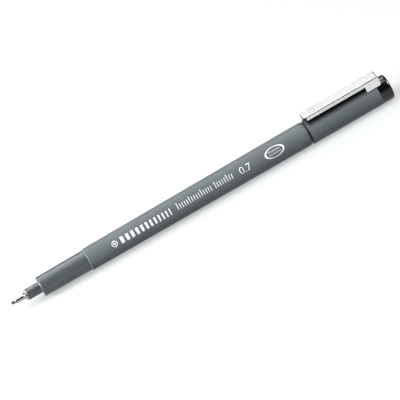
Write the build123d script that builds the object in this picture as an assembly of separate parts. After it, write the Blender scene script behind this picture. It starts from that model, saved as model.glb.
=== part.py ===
from build123d import *
import os

# Fibre-tip technical pen with its cap posted on the rear end. Millimetres.
# Frame: the pen's axis is X, the nib's writing point is the origin, +X runs from the nib
# to the cap's crown, and +Z points to the clip.

# --- stations along the axis ---------------------------------------------------------------
TIP_TUBE_START = 1.6
TIP_FLARE_START = 5.0
NOSE_START = 6.4
SECTION_START = 11.9
BARREL_START = 31.5
BARREL_SHOULDER = 123.3
SPIGOT_END = 137.5
CAP_MOUTH = 123.8
CROWN_START = 153.05
PEN_LENGTH = 158.0

# --- outside radii -------------------------------------------------------------------------
NIB_R = 0.6
TIP_TUBE_R = 0.95
TIP_FLARE_R = 1.95
NOSE_R = 2.125
SECTION_FRONT_R = 3.835
SECTION_REAR_R = 3.98
BARREL_FRONT_R = 4.305
BARREL_REAR_R = 4.705
SPIGOT_R = 3.95
CAP_R = 4.855
CROWN_R = 4.83

# --- fits ----------------------------------------------------------------------------------
PRESS_GAP = 0.02
SLIDE_GAP = 0.04
TURN_GAP = 0.05

# --- nib, wick and ink store ---------------------------------------------------------------
NIB_END = 16.0
TIP_SHANK_R = 1.5
TIP_SHANK_END = 10.5
NOSE_SHANK_R = 1.9
NOSE_SHANK_END = 24.0
WICK_R = 1.0
WICK_END = 47.5
RESERVOIR_START = 43.0
RESERVOIR_END = 128.0
RESERVOIR_R = 2.98
FILM_THICKNESS = 0.12
FILM_OVERHANG = 0.5

# --- barrel --------------------------------------------------------------------------------
BARREL_BORE_R = 3.35
SECTION_PLUG_END = 41.0
RIB_COUNT = 6
RIB_WIDTH = 0.6
RIB_START = 45.0
RIB_END = 126.0
REAR_BEVEL_LENGTH = 1.1
REAR_BEVEL_DEPTH = 0.25
END_PLUG_START = 133.0
END_PLUG_FLANGE = 0.9
END_PLUG_STEM_R = 1.4

# --- cap -----------------------------------------------------------------------------------
CAP_BORE_R = SPIGOT_R + SLIDE_GAP
CROWN_SPIGOT_START = 148.6
CROWN_SOCKET_END = 157.1
CROWN_EDGE_ROUND = 0.95
INNER_CAP_START = 144.3
INNER_CAP_END = 156.9
INNER_CAP_R = 2.75
INNER_CAP_STEP = 151.6
INNER_CAP_FLOOR = 156.3
INNER_TIP_R = 1.35

# --- clip: one stamping of spring steel ----------------------------------------------------
SHEET = 0.4
CLIP_START = 123.8
CLIP_END = 155.1
CLIP_TOP = 7.4
CLIP_HALF_WIDTH = 2.4
CLIP_SKIRT = 1.55
CLIP_NOSE_ROUND = 1.9
SADDLE_START = 149.25
SADDLE_FOOT_HALF_WIDTH = 3.2
SADDLE_FOOT_Z = 4.05
SADDLE_CORNER_ROUND = 0.9
SADDLE_GAP = 0.06
TONGUE_HALF_WIDTH = 1.1
TONGUE_FRONT = 152.5
TONGUE_BOTTOM = 3.2
CONTACT_X = 126.8
CONTACT_HALF_WIDTH = 0.9
CONTACT_REACH = 0.2
SLOT_GAP = 0.28


def turned(*outline):
    """Solid of revolution about the pen's axis from a closed outline of (x, radius) points."""
    return revolve(make_face(Polyline(*outline, close=True)), Axis.X)


def drum(start, end, radius):
    """Plain cylinder on the pen's axis."""
    return turned((start, 0), (end, 0), (end, radius), (start, radius))


def rims(part, x, radius):
    """The circular edges of a turned part at one station and radius."""
    circles = part.edges().filter_by(GeomType.CIRCLE)
    return [e for e in circles if abs(e.center().X - x) < 0.01 and abs(e.radius - radius) < 0.01]


def block(x_range, y_range, z_range):
    """Box between three pairs of limits."""
    size = [high - low for low, high in (x_range, y_range, z_range)]
    middle = [(low + high) / 2 for low, high in (x_range, y_range, z_range)]
    return Pos(*middle) * Box(*size)


# --- writing end ---------------------------------------------------------------------------
def fibre_nib():
    """Fibre rod whose exposed end is worn to a dome."""
    nib = drum(0, NIB_END, NIB_R)
    return fillet(rims(nib, 0, NIB_R), NIB_R * 0.8)


def tip_sleeve():
    """Stepped steel tube that guards the nib, flared where it meets the nose."""
    throat_r = NIB_R + PRESS_GAP
    flare_mid = (TIP_FLARE_START + NOSE_START) / 2
    sleeve = turned(
        (TIP_TUBE_START, throat_r),
        (TIP_SHANK_END, throat_r),
        (TIP_SHANK_END, TIP_SHANK_R),
        (NOSE_START, TIP_SHANK_R),
        (NOSE_START, TIP_FLARE_R),
        (flare_mid + 0.25, TIP_FLARE_R),
        (flare_mid - 0.15, TIP_TUBE_R + 0.45),
        (TIP_FLARE_START, TIP_TUBE_R),
        (TIP_TUBE_START, TIP_TUBE_R),
    )
    return fillet(rims(sleeve, TIP_TUBE_START, TIP_TUBE_R), 0.15)


def nib_holder():
    """Dark nose that carries the steel tip, with a shank pressed into the front section."""
    tip_bore_r = TIP_SHANK_R + PRESS_GAP
    wick_bore_r = WICK_R + PRESS_GAP
    holder = turned(
        (NOSE_START, tip_bore_r),
        (TIP_SHANK_END + 0.1, tip_bore_r),
        (TIP_SHANK_END + 0.1, wick_bore_r),
        (NOSE_SHANK_END, wick_bore_r),
        (NOSE_SHANK_END, NOSE_SHANK_R),
        (SECTION_START, NOSE_SHANK_R),
        (SECTION_START, NOSE_R),
        (NOSE_START, NOSE_R),
    )
    return fillet(rims(holder, NOSE_START, NOSE_R), 0.12)


def front_section():
    """Grip section: tapered outside, with a plug behind it that fits the barrel."""
    shank_bore_r = NOSE_SHANK_R + PRESS_GAP
    wick_bore_r = WICK_R + 0.3
    plug_r = BARREL_BORE_R - PRESS_GAP
    section = turned(
        (SECTION_START, shank_bore_r),
        (NOSE_SHANK_END + 0.2, shank_bore_r),
        (NOSE_SHANK_END + 0.2, wick_bore_r),
        (SECTION_PLUG_END, wick_bore_r),
        (SECTION_PLUG_END, plug_r),
        (BARREL_START - 0.1, plug_r),
        (BARREL_START - 0.1, SECTION_REAR_R),
        (SECTION_START, SECTION_FRONT_R),
    )
    section = fillet(rims(section, SECTION_START, SECTION_FRONT_R), 0.35)
    return chamfer(rims(section, SECTION_PLUG_END, plug_r), 0.3)


def feeder_wick():
    """Wick that carries ink from the reservoir to the nib."""
    return drum(NIB_END, WICK_END, WICK_R)


# --- barrel and ink store ------------------------------------------------------------------
def barrel_shell():
    """Tapered tube with a reduced rear spigot, and ribs inside that centre the reservoir."""
    shell = turned(
        (BARREL_START, BARREL_BORE_R),
        (SPIGOT_END, BARREL_BORE_R),
        (SPIGOT_END, SPIGOT_R),
        (BARREL_SHOULDER, SPIGOT_R),
        (BARREL_SHOULDER, BARREL_REAR_R - REAR_BEVEL_DEPTH),
        (BARREL_SHOULDER - REAR_BEVEL_LENGTH, BARREL_REAR_R),
        (BARREL_START, BARREL_FRONT_R),
    )
    shell = fillet(rims(shell, BARREL_START, BARREL_FRONT_R), 0.25)
    rib_foot_r = RESERVOIR_R + FILM_THICKNESS + 2 * PRESS_GAP
    rib = block(
        (RIB_START, RIB_END),
        (-RIB_WIDTH / 2, RIB_WIDTH / 2),
        (rib_foot_r, BARREL_BORE_R + 0.1),
    )
    for number in range(RIB_COUNT):
        shell += Rot(X=360 / RIB_COUNT * number) * rib
    return shell


def barrel_end_plug():
    """Plug that closes the rear spigot; its stem keeps the reservoir forward."""
    plug_r = BARREL_BORE_R - PRESS_GAP
    plug_end = SPIGOT_END + END_PLUG_FLANGE
    plug = turned(
        (RESERVOIR_END + FILM_OVERHANG + 0.1, 0),
        (plug_end, 0),
        (plug_end, SPIGOT_R - 0.03),
        (SPIGOT_END, SPIGOT_R - 0.03),
        (SPIGOT_END, plug_r),
        (END_PLUG_START, plug_r),
        (END_PLUG_START, END_PLUG_STEM_R),
        (RESERVOIR_END + FILM_OVERHANG + 0.1, END_PLUG_STEM_R),
    )
    return fillet(rims(plug, plug_end, SPIGOT_R - 0.03), 0.6)


def ink_reservoir():
    """Fibre rod that stores the ink, pierced at the front by the wick."""
    wick_hole_r = WICK_R + PRESS_GAP
    return turned(
        (RESERVOIR_START, wick_hole_r),
        (WICK_END + 0.1, wick_hole_r),
        (WICK_END + 0.1, 0),
        (RESERVOIR_END, 0),
        (RESERVOIR_END, RESERVOIR_R),
        (RESERVOIR_START, RESERVOIR_R),
    )


def reservoir_film():
    """Plastic film sleeve round the reservoir."""
    film_bore_r = RESERVOIR_R + PRESS_GAP
    return turned(
        (RESERVOIR_START - FILM_OVERHANG, film_bore_r),
        (RESERVOIR_END + FILM_OVERHANG, film_bore_r),
        (RESERVOIR_END + FILM_OVERHANG, film_bore_r + FILM_THICKNESS),
        (RESERVOIR_START - FILM_OVERHANG, film_bore_r + FILM_THICKNESS),
    )


# --- cap -----------------------------------------------------------------------------------
def inner_cap():
    """Seal that closes round the nose when the cap is on the writing end."""
    seal_r = NOSE_R + SLIDE_GAP
    seal = turned(
        (INNER_CAP_START, seal_r),
        (INNER_CAP_STEP, seal_r),
        (INNER_CAP_STEP, INNER_TIP_R),
        (INNER_CAP_FLOOR, INNER_TIP_R),
        (INNER_CAP_FLOOR, 0),
        (INNER_CAP_END, 0),
        (INNER_CAP_END, INNER_CAP_R),
        (INNER_CAP_START, INNER_CAP_R),
    )
    return chamfer(rims(seal, INNER_CAP_START, seal_r), 0.25)


def cap_shell():
    """Open tube that slides on the barrel's spigot."""
    shell = turned(
        (CAP_MOUTH, CAP_BORE_R),
        (CROWN_START, CAP_BORE_R),
        (CROWN_START, CAP_R),
        (CAP_MOUTH, CAP_R),
    )
    shell = fillet(rims(shell, CAP_MOUTH, CAP_R), 0.2)
    return fillet(rims(shell, CROWN_START, CAP_R), 0.08)


def cap_crown():
    """End cap pressed into the shell, with a socket for the inner cap and a notch for the clip."""
    socket_r = INNER_CAP_R + TURN_GAP
    crown = turned(
        (CROWN_SPIGOT_START, socket_r),
        (CROWN_SOCKET_END, socket_r),
        (CROWN_SOCKET_END, 0),
        (PEN_LENGTH, 0),
        (PEN_LENGTH, CROWN_R),
        (CROWN_START, CROWN_R),
        (CROWN_START, CAP_BORE_R - PRESS_GAP),
        (CROWN_SPIGOT_START, CAP_BORE_R - PRESS_GAP),
    )
    crown = fillet(rims(crown, PEN_LENGTH, CROWN_R), CROWN_EDGE_ROUND)
    notch = block(
        (TONGUE_FRONT - SLOT_GAP, CLIP_END + SLOT_GAP),
        (-TONGUE_HALF_WIDTH - SLOT_GAP, TONGUE_HALF_WIDTH + SLOT_GAP),
        (TONGUE_BOTTOM - PRESS_GAP * 3, CAP_R),
    )
    return crown - notch


# --- clip ----------------------------------------------------------------------------------
def clip_tray(inset, floor):
    """Arm of the clip as a solid tray, rounded in plan at its free end."""
    start = CLIP_START + inset
    end = CLIP_END - inset
    half = CLIP_HALF_WIDTH - inset
    outline = Polyline((start, -half), (end, -half), (end, half), (start, half), close=True)
    plan = make_face(outline)
    plan = fillet(plan.vertices().group_by(Axis.X)[0], CLIP_NOSE_ROUND - inset)
    return extrude(Pos(0, 0, floor) * plan, CLIP_TOP - inset - floor)


def saddle_wedge(inset, start, end, foot_z):
    """Rear of the clip as a solid wedge, wider at its foot than at its top."""
    top = CLIP_TOP - inset
    lean = (SADDLE_FOOT_HALF_WIDTH - CLIP_HALF_WIDTH) / (CLIP_TOP - SADDLE_FOOT_Z)
    top_half = CLIP_HALF_WIDTH - inset + lean * inset
    foot_half = top_half + lean * (top - foot_z)
    outline = Polyline(
        (-top_half, top),
        (top_half, top),
        (foot_half, foot_z),
        (-foot_half, foot_z),
        close=True,
    )
    return extrude(Plane.YZ.offset(start) * make_face(outline), end - start)


def clip():
    """Channel-section clip: arm, saddle, contact foot at the free end and tongue at the root."""
    arm_foot = CLIP_TOP - CLIP_SKIRT
    outer = clip_tray(0, arm_foot)
    outer = fillet(outer.faces().sort_by(Axis.Z)[-1].edges(), SHEET * 0.9)
    arm = outer - clip_tray(SHEET, arm_foot)

    saddle = saddle_wedge(0, SADDLE_START, CLIP_END, SADDLE_FOOT_Z)
    saddle = fillet(saddle.edges().filter_by(Axis.X).group_by(Axis.Z)[-1], SHEET * 0.9)
    hollow = saddle_wedge(SHEET, SADDLE_START, CLIP_END - SHEET, SADDLE_FOOT_Z - 0.1)
    body = arm + (saddle - hollow)

    side = make_face(
        Polyline(
            (CLIP_START, SADDLE_FOOT_Z),
            (CLIP_END, SADDLE_FOOT_Z),
            (CLIP_END, CLIP_TOP),
            (CLIP_START, CLIP_TOP),
            close=True,
        )
    )
    rear_corners = side.vertices().group_by(Axis.X)[-1].sort_by(Axis.Y)
    side = fillet(rear_corners[0], SADDLE_CORNER_ROUND)
    side = fillet(side.vertices().sort_by(Axis.X)[-1], SHEET * 0.9)
    envelope = extrude(Plane.XZ * side, CAP_R, both=True)
    body = body & envelope
    body -= drum(CLIP_START - 1, CLIP_END + 1, CAP_R + SADDLE_GAP)

    tongue_width = (-TONGUE_HALF_WIDTH, TONGUE_HALF_WIDTH)
    wall = block((CLIP_END - SHEET, CLIP_END), tongue_width, (TONGUE_BOTTOM, arm_foot))
    hook = block((TONGUE_FRONT, CLIP_END), tongue_width, (TONGUE_BOTTOM, TONGUE_BOTTOM + SHEET))
    return body + wall + hook + contact_foot()


def contact_foot():
    """Lip folded in under the arm's free end; its rounded bottom grips the cloth."""
    low = CAP_R + CONTACT_REACH
    high = CLIP_TOP - SHEET
    lip = make_face(
        Polyline(
            (CLIP_START + 0.1, high - 0.8),
            (CONTACT_X - 0.9, low),
            (CONTACT_X, low),
            (CONTACT_X + 1.2, high + 0.1),
            (CONTACT_X + 1.2 - SHEET, high + 0.1),
            (CONTACT_X - 0.25, low + SHEET),
            (CONTACT_X - 0.7, low + SHEET),
            (CLIP_START + 0.3, high - 0.3),
            close=True,
        )
    )
    return extrude(Plane.XZ * lip, CONTACT_HALF_WIDTH, both=True)


PARTS = {
    "fibre_nib": fibre_nib,
    "tip_sleeve": tip_sleeve,
    "nib_holder": nib_holder,
    "front_section": front_section,
    "feeder_wick": feeder_wick,
    "barrel_shell": barrel_shell,
    "barrel_end_plug": barrel_end_plug,
    "ink_reservoir": ink_reservoir,
    "reservoir_film": reservoir_film,
    "inner_cap": inner_cap,
    "cap_shell": cap_shell,
    "cap_crown": cap_crown,
    "clip": clip,
}

os.makedirs("parts", exist_ok=True)
for name, make in PARTS.items():
    export_step(make(), f"parts/{name}.step")
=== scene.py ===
import math

import bmesh
import bpy
from mathutils import Matrix, Vector


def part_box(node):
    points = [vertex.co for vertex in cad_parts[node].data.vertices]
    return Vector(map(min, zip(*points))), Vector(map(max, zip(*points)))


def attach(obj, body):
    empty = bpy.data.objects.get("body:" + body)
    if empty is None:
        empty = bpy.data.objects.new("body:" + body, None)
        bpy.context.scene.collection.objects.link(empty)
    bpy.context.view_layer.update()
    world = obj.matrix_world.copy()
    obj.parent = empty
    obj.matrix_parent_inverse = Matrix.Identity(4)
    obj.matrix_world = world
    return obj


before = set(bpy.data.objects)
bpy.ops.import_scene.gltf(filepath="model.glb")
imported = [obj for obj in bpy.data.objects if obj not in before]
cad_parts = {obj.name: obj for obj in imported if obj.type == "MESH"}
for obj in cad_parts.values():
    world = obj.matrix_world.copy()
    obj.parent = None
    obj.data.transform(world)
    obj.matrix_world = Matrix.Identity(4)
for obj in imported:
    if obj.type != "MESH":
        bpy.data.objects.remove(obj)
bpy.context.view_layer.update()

MM = 0.001

# --- places read from the CAD frame --------------------------------------------------------
section_low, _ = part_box("front_section")
barrel_low, barrel_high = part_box("barrel_shell")
cap_low, cap_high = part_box("cap_shell")
clip_low, clip_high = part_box("clip")

SECTION_START = section_low.x
BARREL_START = barrel_low.x
BARREL_REAR_R = barrel_high.z
CAP_MOUTH = cap_low.x
CAP_R = cap_high.z
CLIP_START = clip_low.x
CLIP_END = clip_high.x
CLIP_TOP = clip_high.z

# --- clip sizes, for its finish ------------------------------------------------------------
CLIP_ARM_HALF_WIDTH = 2.4 * MM
SADDLE_START = CLIP_END - 5.85 * MM
RING_X = CLIP_START + 4.6 * MM
RING_R = 1.15 * MM

# --- barrel taper, for what is printed on it -----------------------------------------------
BARREL_FRONT_R = 4.305 * MM
TAPER_END = CAP_MOUTH - 1.6 * MM

# --- camera and surroundings ---------------------------------------------------------------
CAMERA_ELEVATION = math.radians(33)
CAMERA_TURN = math.radians(5)
IMAGE_SLOPE = math.radians(30.05)
CAMERA_DISTANCE = 1.2
FRAME_WIDTH = 144.45 * MM
AIM_X = 77.5 * MM
AIM_BELOW_AXIS = 1.67 * MM
LIGHT_DISTANCE = 1.0
FLOOR_HALF_SIDE = 3.0
FLOOR_GLOW = 0.47
HORIZON_GLOW = 0.6
HIGH_ROOM_GLOW = 0.03

# --- print on the barrel: places along the axis, and sizes ---------------------------------
PRINT_ANGLE = CAMERA_ELEVATION
INK_PROUD = 0.02 * MM
INK_DEPTH = 0.03 * MM
WRAP_STEP = 0.2 * MM
EMBLEM_X = 42.6 * MM
EMBLEM_R = 1.15 * MM
BARS_START = 45.1 * MM
BARS_END = 65.9 * MM
BARS_HEIGHT = 2.5 * MM
SCALE_GROUPS = ((68.75 * MM, 82.85 * MM, 15), (84.35 * MM, 91.55 * MM, 8))
TICK_WIDTH = 0.25 * MM
TICK_HEIGHT = 1.95 * MM
LONG_TICK_HEIGHT = 2.65 * MM
NUMBER_START = 94.7 * MM
NUMBER_LENGTH = 4.55 * MM
NUMBER_HEIGHT = 2.65 * MM
OVAL_X = 109.2 * MM
OVAL_LENGTH = 7.95 * MM
OVAL_HEIGHT = 4.15 * MM


# --- camera, floor and light ---------------------------------------------------------------
def make_camera():
    """Long lens looking down on the pen, rolled so that the pen climbs to the right."""
    back = Vector((
        -math.sin(CAMERA_TURN),
        -math.cos(CAMERA_ELEVATION) * math.cos(CAMERA_TURN),
        math.sin(CAMERA_ELEVATION) * math.cos(CAMERA_TURN),
    ))
    along = Vector((1, 0, 0)) - back * back.x
    along.normalize()
    across = back.cross(along)
    right = along * math.cos(IMAGE_SLOPE) - across * math.sin(IMAGE_SLOPE)
    up = along * math.sin(IMAGE_SLOPE) + across * math.cos(IMAGE_SLOPE)
    data = bpy.data.cameras.new("camera")
    data.sensor_width = 36
    data.lens = data.sensor_width * CAMERA_DISTANCE / FRAME_WIDTH
    data.clip_start = 0.01
    data.clip_end = 20
    camera = bpy.data.objects.new("camera", data)
    bpy.context.scene.collection.objects.link(camera)
    spot = Vector((AIM_X, 0, 0)) - across * AIM_BELOW_AXIS + back * CAMERA_DISTANCE
    turn = Matrix((right, up, back)).transposed().to_4x4()
    camera.matrix_world = Matrix.Translation(spot) @ turn
    bpy.context.scene.camera = camera


def make_floor():
    """Pale floor that the cap's side rests on, lit softly from within, as bright far off as the room."""
    side = FLOOR_HALF_SIDE
    corners = [(-side, -side), (side, -side), (side, side), (-side, side)]
    mesh = bpy.data.meshes.new("floor")
    mesh.from_pydata([(x, y, -CAP_R) for x, y in corners], [], [(0, 1, 2, 3)])
    floor = bpy.data.objects.new("floor", mesh)
    bpy.context.scene.collection.objects.link(floor)
    material, shader = new_material("floor_white", (0.147, 0.15, 0.152), 0.9, specular=0.0)
    shader.inputs["Emission Color"].default_value = (0.975, 1, 1.015, 1)
    distance = node(material, "ShaderNodeVectorMath", operation="LENGTH")
    wire(material, own_place(material), distance.inputs[0])
    glow = spread(material, distance.outputs["Value"], FLOOR_GLOW, HORIZON_GLOW, 0.7, 1.4)
    wire(material, glow, shader.inputs["Emission Strength"])
    mesh.materials.append(material)


def softbox(name, direction, width, height, power):
    """Area light that faces the middle of the pen from one direction."""
    back = Vector(direction).normalized()
    data = bpy.data.lights.new(name, "AREA")
    data.shape = "RECTANGLE"
    data.size = width
    data.size_y = height
    data.energy = power
    light = bpy.data.objects.new(name, data)
    bpy.context.scene.collection.objects.link(light)
    light.location = Vector((AIM_X, 0, 0)) + back * LIGHT_DISTANCE
    light.rotation_mode = "QUATERNION"
    light.rotation_quaternion = (-back).to_track_quat("-Z", "Y")


def round_the_pen(angle, lean=0):
    """Direction at an angle up from the front horizon, over the pen; lean tips it to the nib."""
    a, b = math.radians(angle), math.radians(lean)
    return (-math.sin(b), -math.cos(a) * math.cos(b), math.sin(a) * math.cos(b))


def make_world():
    """Room that is pale near the horizon and dark above."""
    world = bpy.data.worlds.new("studio")
    world.use_nodes = True
    bpy.context.scene.world = world
    background = world.node_tree.nodes["Background"]
    background.inputs["Strength"].default_value = 1.0
    height = parts_of(world, node(world, "ShaderNodeTexCoord").outputs["Generated"])["Z"]
    glow = spread(world, height, HORIZON_GLOW, HIGH_ROOM_GLOW, 0.1, 0.3)
    wire(world, glow, background.inputs["Color"])


def make_light():
    """Main soft boxes beyond the nib, a fill beyond the cap, and weak ones over and behind."""
    square = (0.4, 0.4)
    softbox("nib_side_front", round_the_pen(60, 55), *square, power=23)
    softbox("nib_side_top", round_the_pen(92, 55), *square, power=24)
    softbox("cap_side_fill", round_the_pen(68, -50), *square, power=14)
    softbox("overhead", round_the_pen(95), 0.6, 0.4, power=3.0)
    softbox("high_behind", round_the_pen(127), 0.6, 0.26, power=5)
    softbox("card_behind", round_the_pen(147), 0.6, 0.28, power=0.72)


# --- node helpers --------------------------------------------------------------------------
def new_material(name, colour, roughness, metallic=0.0, specular=0.5):
    """Principled material, and its shader node."""
    material = bpy.data.materials.new(name)
    material.use_nodes = True
    shader = material.node_tree.nodes["Principled BSDF"]
    shader.inputs["Base Color"].default_value = (*colour, 1)
    shader.inputs["Roughness"].default_value = roughness
    shader.inputs["Metallic"].default_value = metallic
    shader.inputs["Specular IOR Level"].default_value = specular
    return material, shader


def node(owner, kind, **settings):
    made = owner.node_tree.nodes.new(kind)
    for name, value in settings.items():
        setattr(made, name, value)
    return made


def wire(owner, source, target):
    owner.node_tree.links.new(source, target)


def own_place(material):
    """The point's place in its piece's own frame, in metres."""
    return node(material, "ShaderNodeTexCoord").outputs["Object"]


def own_facing(material):
    """The direction that the surface faces, in its piece's own frame."""
    return node(material, "ShaderNodeTexCoord").outputs["Normal"]


def parts_of(owner, vector):
    """The X, Y and Z outputs of a vector."""
    split = node(owner, "ShaderNodeSeparateXYZ")
    wire(owner, vector, split.inputs["Vector"])
    return split.outputs


def size_of(material, value):
    size = node(material, "ShaderNodeMath", operation="ABSOLUTE")
    wire(material, value, size.inputs[0])
    return size.outputs[0]


def less(material, value, amount):
    offset = node(material, "ShaderNodeMath", operation="SUBTRACT")
    wire(material, value, offset.inputs[0])
    offset.inputs[1].default_value = amount
    return offset.outputs[0]


def both_of(material, value_a, value_b):
    """The product of two masks."""
    product = node(material, "ShaderNodeMath", operation="MULTIPLY")
    wire(material, value_a, product.inputs[0])
    wire(material, value_b, product.inputs[1])
    return product.outputs[0]


def largest_of(material, values):
    largest = values[0]
    for value in values[1:]:
        larger = node(material, "ShaderNodeMath", operation="MAXIMUM")
        wire(material, largest, larger.inputs[0])
        wire(material, value, larger.inputs[1])
        largest = larger.outputs[0]
    return largest


def grain(material, along, across, detail=3.0):
    """Noise with so many grains per metre along the pen's axis and across it."""
    mapping = node(material, "ShaderNodeMapping")
    mapping.inputs["Scale"].default_value = (along, across, across)
    noise = node(material, "ShaderNodeTexNoise")
    noise.inputs["Scale"].default_value = 1.0
    noise.inputs["Detail"].default_value = detail
    wire(material, own_place(material), mapping.inputs["Vector"])
    wire(material, mapping.outputs["Vector"], noise.inputs["Vector"])
    return noise.outputs["Fac"]


def spread(owner, value, low, high, from_low=0.3, from_high=0.7):
    """Maps a value's useful range to another range."""
    mapped = node(owner, "ShaderNodeMapRange")
    mapped.inputs["From Min"].default_value = from_low
    mapped.inputs["From Max"].default_value = from_high
    mapped.inputs["To Min"].default_value = low
    mapped.inputs["To Max"].default_value = high
    wire(owner, value, mapped.inputs["Value"])
    return mapped.outputs["Result"]


def near_station(material, x, half_width):
    """1 at a station on the pen's axis, fading to 0 at half_width from it."""
    away = size_of(material, less(material, parts_of(material, own_place(material))["X"], x))
    return spread(material, away, 1, 0, half_width * 0.6, half_width)


def blend_colours(material, factor, colour_a, colour_b):
    """Colour a where the factor is 0 and b where it is 1; each may be a colour or a socket."""
    mix = node(material, "ShaderNodeMix", data_type="RGBA")
    wire(material, factor, mix.inputs["Factor"])
    for socket, colour in (("A", colour_a), ("B", colour_b)):
        target = next(i for i in mix.inputs if i.name == socket and i.type == "RGBA")
        if isinstance(colour, tuple):
            target.default_value = (*colour, 1)
        else:
            wire(material, colour, target)
    return next(o for o in mix.outputs if o.type == "RGBA")


def roughen(material, shader, height, depth, strength=1.0):
    """Bump of a given depth in metres from a height value."""
    bump = node(material, "ShaderNodeBump")
    bump.inputs["Strength"].default_value = strength
    bump.inputs["Distance"].default_value = depth
    wire(material, height, bump.inputs["Height"])
    wire(material, bump.outputs["Normal"], shader.inputs["Normal"])


def shade(colour, factor):
    return tuple(channel * factor for channel in colour)


# --- materials -----------------------------------------------------------------------------
def satin_plastic(name, colour, roughness, specular, rims=(), shaded_under_clip=False):
    """Moulded plastic: cloudy pigment, fine speckle, spark-eroded grain; painted highlights or painted
    shade at the given rims, and a painted shadow under the clip when asked.
    """
    material, shader = new_material(name, colour, roughness, specular=specular)
    clouds = spread(material, grain(material, 70, 160), 0, 1)
    tone = blend_colours(material, clouds, shade(colour, 0.93), shade(colour, 1.07))
    speckle = spread(material, grain(material, 2600, 2600, 1.0), 0, 1, 0.56, 0.72)
    tone = blend_colours(material, speckle, tone, shade(colour, 1.14))
    # Each rim paints a highlight (factor above 1) or shade (factor below 1) into the colour.
    for x, half_width, factor in rims:
        rim = near_station(material, x, half_width)
        tone = blend_colours(material, rim, tone, shade(colour, factor))
    # Painted shadow under the clip: the colour is darkened to a tenth there.
    if shaded_under_clip:
        tone = blend_colours(material, painted_clip_shadow(material), tone, shade(colour, 0.1))
    wire(material, tone, shader.inputs["Base Color"])
    worn = spread(material, grain(material, 250, 600), roughness - 0.04, roughness + 0.05)
    wire(material, worn, shader.inputs["Roughness"])
    roughen(material, shader, grain(material, 4500, 4500, 2.0), 0.012 * MM, 0.35)
    return material


def painted_clip_shadow(material):
    """1 along the strip under the clip, where its shadow is painted, fading out at its sides."""
    place = parts_of(material, own_place(material))
    height = spread(material, place["Z"], 0, 1, CAP_R * 0.68, CAP_R * 0.88)
    start = spread(material, place["X"], 0, 1, CAP_MOUTH + 0.2 * MM, CAP_MOUTH + 1.5 * MM)
    return both_of(material, height, start)


def gloss_plastic(name, colour, roughness, specular=0.5):
    """Polished plastic: faint orange peel and hairline scuffs in the gloss."""
    material, shader = new_material(name, colour, roughness, specular=specular)
    haze = spread(material, grain(material, 500, 500), 0, 1)
    tone = blend_colours(material, haze, colour, shade(colour, 1.35))
    wire(material, tone, shader.inputs["Base Color"])
    hairlines = grain(material, 5000, 350, 2.0)
    scuffs = spread(material, hairlines, roughness, roughness + 0.08, 0.5, 0.75)
    wire(material, scuffs, shader.inputs["Roughness"])
    roughen(material, shader, grain(material, 700, 700, 1.0), 0.01 * MM, 0.15)
    return material


def turned_steel(name, colour, roughness):
    """Steel with the fine rings that turning leaves."""
    material, shader = new_material(name, colour, roughness, metallic=1.0)
    rings = grain(material, 9000, 200, 2.0)
    tone = blend_colours(material, spread(material, rings, 0, 1), shade(colour, 0.88), colour)
    wire(material, tone, shader.inputs["Base Color"])
    worn = spread(material, rings, roughness - 0.05, roughness + 0.08)
    wire(material, worn, shader.inputs["Roughness"])
    roughen(material, shader, rings, 0.008 * MM, 0.25)
    return material


def clip_steel(name, colour, roughness):
    """Bright steel, finely brushed along the clip, with a plain ring pressed into its top; a painted
    reflection brightens the saddle's sides, and painted shade darkens the bends and outlines the top
    face.
    """
    material, shader = new_material(name, colour, roughness, metallic=1.0)
    brushed = grain(material, 120, 7000, 2.0)
    ring = pressed_ring(material)
    tone = blend_colours(material, spread(material, brushed, 0, 1), shade(colour, 0.96), colour)
    # Painted reflection: the saddle's sides are brightened.
    tone = blend_colours(material, painted_saddle_sheen(material), tone, shade(colour, 1.45))
    # Painted shade: the bends are darkened nearly to black.
    tone = blend_colours(material, painted_bend_shade(material), tone, shade(colour, 0.08))
    # Painted shade: a dark line round the clip's top face.
    tone = blend_colours(material, painted_plate_outline(material), tone, shade(colour, 0.2))
    tone = blend_colours(material, ring, tone, shade(colour, 0.78))
    wire(material, tone, shader.inputs["Base Color"])
    worn = spread(material, brushed, roughness - 0.04, roughness + 0.06)
    wire(material, worn, shader.inputs["Roughness"])
    sunk = node(material, "ShaderNodeMath", operation="MULTIPLY_ADD")
    wire(material, ring, sunk.inputs[0])
    sunk.inputs[1].default_value = -6.0
    wire(material, brushed, sunk.inputs[2])
    roughen(material, shader, sunk.outputs[0], 0.008 * MM, 0.18)
    return material


def painted_bend_shade(material):
    """1 on the rounded bends between the clip's flat faces, where dark shade is painted."""
    facing = parts_of(material, own_facing(material))
    sizes = [size_of(material, facing[axis]) for axis in ("X", "Y", "Z")]
    return spread(material, largest_of(material, sizes), 1, 0, 0.93, 0.985)


def faces_up(material):
    """1 on the clip's top face and 0 on its sides."""
    return spread(material, parts_of(material, own_facing(material))["Z"], 0, 1, 0.4, 0.6)


def painted_saddle_sheen(material):
    """1 on the sides of the clip's saddle, where a painted reflection brightens them."""
    x = parts_of(material, own_place(material))["X"]
    saddle = spread(material, x, 0, 1, SADDLE_START - 0.05 * MM, SADDLE_START)
    sides = spread(material, faces_up(material), 1, 0, 0, 1)
    return both_of(material, saddle, sides)


def painted_plate_outline(material):
    """1 in a thin line along the sides and ends of the clip's top face, where dark shade is painted."""
    place = parts_of(material, own_place(material))
    side = CLIP_ARM_HALF_WIDTH
    lines = (
        spread(material, size_of(material, place["Y"]), 0, 1, side - 0.4 * MM, side - 0.15 * MM),
        spread(material, place["X"], 0, 1, CLIP_END - 0.45 * MM, CLIP_END - 0.25 * MM),
        spread(material, place["X"], 1, 0, CLIP_START + 0.15 * MM, CLIP_START + 0.4 * MM),
    )
    return both_of(material, largest_of(material, lines), faces_up(material))


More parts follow.
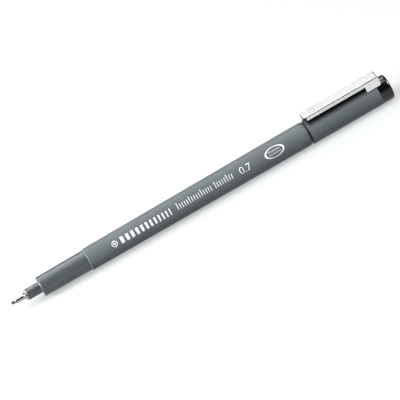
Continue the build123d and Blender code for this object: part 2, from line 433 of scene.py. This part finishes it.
def pressed_ring(material):
    """1 on a ring round a point near the clip's free end, on its top face only."""
    distance = node(material, "ShaderNodeVectorMath", operation="DISTANCE")
    wire(material, own_place(material), distance.inputs[0])
    distance.inputs[1].default_value = (RING_X, 0, CLIP_TOP)
    away = size_of(material, less(material, distance.outputs["Value"], RING_R))
    return spread(material, away, 1, 0, 0.2 * MM, 0.42 * MM)


def fibre(name, colour, tip_colour=None):
    """Bundled fibres that run along the pen, darker where ink gathers."""
    material, shader = new_material(name, colour, 0.75, specular=0.3)
    strands = grain(material, 300, 9000, 3.0)
    shares = spread(material, strands, 0, 1)
    tone = blend_colours(material, shares, shade(colour, 0.6), shade(colour, 1.3))
    if tip_colour is not None:
        tone = blend_colours(material, near_station(material, 0, 1.0 * MM), tone, tip_colour)
    wire(material, tone, shader.inputs["Base Color"])
    roughen(material, shader, strands, 0.02 * MM, 0.5)
    return material


def print_ink(name, colour):
    """Pad-printed ink: slightly uneven cover."""
    material, shader = new_material(name, colour, 0.5, specular=0.3)
    cover = spread(material, grain(material, 3000, 3000), 0, 1)
    tone = blend_colours(material, cover, shade(colour, 0.88), colour)
    wire(material, tone, shader.inputs["Base Color"])
    roughen(material, shader, grain(material, 6000, 6000), 0.005 * MM, 0.3)
    return material


def dress_nodes():
    """Gives each CAD node its material."""
    slate = (0.051, 0.06, 0.063)
    dark_slate = (0.026, 0.032, 0.036)
    # Painted highlight on the barrel's front rim.
    barrel_rim_highlight = (BARREL_START, 0.3 * MM, 1.8)
    # Painted shade in the groove where the barrel meets the cap's mouth, on both sides of it.
    barrel_groove_shade = (CAP_MOUTH, 0.9 * MM, 0.4)
    cap_groove_shade = (CAP_MOUTH, 0.25 * MM, 0.35)
    # Painted highlight on the section's front rim.
    section_rim_highlight = (SECTION_START, 0.3 * MM, 1.6)
    barrel = satin_plastic("slate_barrel", slate, 0.35, 0.14, rims=(barrel_rim_highlight, barrel_groove_shade))
    # The cap gets a painted shadow along the strip under the clip.
    cap = satin_plastic("slate_cap", slate, 0.35, 0.14, rims=(cap_groove_shade,), shaded_under_clip=True)
    section = satin_plastic("slate_section", dark_slate, 0.32, 0.6, rims=(section_rim_highlight,))
    plug = satin_plastic("dark_plug", (0.02, 0.02, 0.022), 0.45, 0.4)
    seal = satin_plastic("white_seal", (0.6, 0.6, 0.58), 0.5, 0.4)
    nose = gloss_plastic("nose_plastic", (0.02, 0.024, 0.027), 0.26, 0.7)
    crown = gloss_plastic("crown_black", (0.0008, 0.0007, 0.0007), 0.17)
    film = gloss_plastic("clear_film", (0.5, 0.5, 0.52), 0.2)
    steel = turned_steel("tip_steel", (0.36, 0.36, 0.37), 0.2)
    bright = clip_steel("clip_steel", (0.65, 0.65, 0.65), 0.15)
    nib = fibre("nib_fibre", (0.07, 0.07, 0.073), (0.02, 0.02, 0.022))
    wick = fibre("wick_fibre", (0.03, 0.03, 0.033))
    looks = {
        "fibre_nib": nib,
        "tip_sleeve": steel,
        "nib_holder": nose,
        "front_section": section,
        "feeder_wick": wick,
        "barrel_shell": barrel,
        "barrel_end_plug": plug,
        "ink_reservoir": wick,
        "reservoir_film": film,
        "inner_cap": seal,
        "cap_shell": cap,
        "cap_crown": crown,
        "clip": bright,
    }
    for name, material in looks.items():
        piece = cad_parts[name]
        piece.data.materials.clear()
        piece.data.materials.append(material)


# --- print on the barrel -------------------------------------------------------------------
def barrel_radius(x):
    share = (x - BARREL_START) / (TAPER_END - BARREL_START)
    return BARREL_FRONT_R + share * (BARREL_REAR_R - BARREL_FRONT_R)


def add_patch(shape, *corners):
    """One flat face from (along, around) points, in metres."""
    shape.faces.new([shape.verts.new((x, s, 0)) for x, s in corners])


def add_bar(shape, start, end, low, high):
    add_patch(shape, (start, low), (end, low), (end, high), (start, high))


def add_oval(shape, centre, inner, outer, steps=48):
    """Ring between two ovals, each given by its two half sizes."""
    for step in range(steps):
        angles = [2 * math.pi * turn / steps for turn in (step, step + 1)]
        near, far = [
            [(centre + half[0] * math.cos(a), half[1] * math.sin(a)) for a in angles]
            for half in (inner, outer)
        ]
        add_patch(shape, near[0], far[0], far[1], near[1])


def print_piece(name, shape, ink):
    """Wraps a flat shape on the barrel as a thin piece of ink."""
    reach = OVAL_HEIGHT
    cuts = int(2 * reach / WRAP_STEP)
    for number in range(cuts):
        bmesh.ops.bisect_plane(
            shape,
            geom=shape.verts[:] + shape.edges[:] + shape.faces[:],
            plane_co=(0, number * WRAP_STEP - reach, 0),
            plane_no=(0, 1, 0),
        )
    bmesh.ops.remove_doubles(shape, verts=shape.verts[:], dist=0.001 * MM)
    for vert in shape.verts:
        x, around = vert.co.x, vert.co.y
        radius = barrel_radius(x) + INK_PROUD
        angle = PRINT_ANGLE + around / radius
        vert.co = (x, -radius * math.cos(angle), radius * math.sin(angle))
    mesh = bpy.data.meshes.new(name)
    shape.to_mesh(mesh)
    shape.free()
    piece = bpy.data.objects.new(name, mesh)
    bpy.context.scene.collection.objects.link(piece)
    skin = piece.modifiers.new("ink_depth", "SOLIDIFY")
    skin.thickness = INK_DEPTH
    skin.offset = -1
    mesh.materials.append(ink)
    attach(piece, "barrel")


def centre_mark():
    """Drafting centre mark: a circle with a cross."""
    shape = bmesh.new()
    line = 0.22 * MM
    reach = EMBLEM_R + 0.25 * MM
    add_oval(shape, EMBLEM_X, (EMBLEM_R - line,) * 2, (EMBLEM_R,) * 2, 32)
    add_bar(shape, EMBLEM_X - EMBLEM_R, EMBLEM_X + EMBLEM_R, -line / 2, line / 2)
    for side in (-1, 1):
        low, high = sorted((side * line / 2, side * reach))
        add_bar(shape, EMBLEM_X - line / 2, EMBLEM_X + line / 2, low, high)
    return shape


def weight_bars():
    """Sample of line weights: upright bars from bold to fine."""
    shape = bmesh.new()
    count, boldest, finest = 12, 1.25 * MM, 0.4 * MM
    widths = [boldest + (finest - boldest) * number / (count - 1) for number in range(count)]
    gap = (BARS_END - BARS_START - sum(widths)) / (count - 1)
    start = BARS_START
    for width in widths:
        add_bar(shape, start, start + width, -BARS_HEIGHT / 2, BARS_HEIGHT / 2)
        start += width + gap
    return shape


def fine_scale():
    """Fine scale in two groups, with every fifth mark long."""
    shape = bmesh.new()
    foot = -TICK_HEIGHT / 2
    for start, end, count in SCALE_GROUPS:
        for number in range(count):
            x = start + (end - start - TICK_WIDTH) * number / (count - 1)
            height = TICK_HEIGHT if number % 5 else LONG_TICK_HEIGHT
            add_bar(shape, x, x + TICK_WIDTH, foot, foot + height)
    return shape


def width_number():
    """The line width, 0.7, in the plain built-in font."""
    text = bpy.data.curves.new("width_number", "FONT")
    text.body = "0.7"
    text.offset = -0.012
    holder = bpy.data.objects.new("width_number", text)
    bpy.context.scene.collection.objects.link(holder)
    bpy.context.view_layer.update()
    flat = bpy.data.meshes.new_from_object(holder)
    bpy.data.objects.remove(holder)
    bpy.data.curves.remove(text)
    shape = bmesh.new()
    shape.from_mesh(flat)
    bpy.data.meshes.remove(flat)
    xs = [vert.co.x for vert in shape.verts]
    ys = [vert.co.y for vert in shape.verts]
    stretch_x = NUMBER_LENGTH / (max(xs) - min(xs))
    stretch_y = NUMBER_HEIGHT / (max(ys) - min(ys))
    for vert in shape.verts:
        vert.co.x = NUMBER_START + (vert.co.x - min(xs)) * stretch_x
        vert.co.y = (vert.co.y - min(ys)) * stretch_y - NUMBER_HEIGHT / 2
    return shape


def oval_panel():
    """Oval frame, heavier at its ends."""
    shape = bmesh.new()
    half = (OVAL_LENGTH / 2, OVAL_HEIGHT / 2)
    add_oval(shape, OVAL_X, (half[0] - 0.7 * MM, half[1] - 0.25 * MM), half, 64)
    return shape


def oval_rows():
    """Two rows of small blocks inside the oval."""
    shape = bmesh.new()
    count = 6
    block, pitch, height = 0.5 * MM, 0.82 * MM, 0.62 * MM
    start = OVAL_X - (pitch * (count - 1) + block) / 2
    for row in (-0.5, 0.5):
        middle = row * 1.15 * MM
        for number in range(count):
            x = start + number * pitch
            add_bar(shape, x, x + block, middle - height / 2, middle + height / 2)
    return shape


def print_barrel():
    white = print_ink("white_ink", (0.4, 0.41, 0.41))
    grey = print_ink("grey_ink", (0.2, 0.205, 0.21))
    print_piece("print_centre_mark", centre_mark(), white)
    print_piece("print_weight_bars", weight_bars(), white)
    print_piece("print_fine_scale", fine_scale(), white)
    print_piece("print_width_number", width_number(), white)
    print_piece("print_oval", oval_panel(), white)
    print_piece("print_oval_rows", oval_rows(), grey)


make_camera()
make_floor()
make_world()
make_light()
dress_nodes()
print_barrel()
bpy.context.scene.view_settings.view_transform = "Standard"
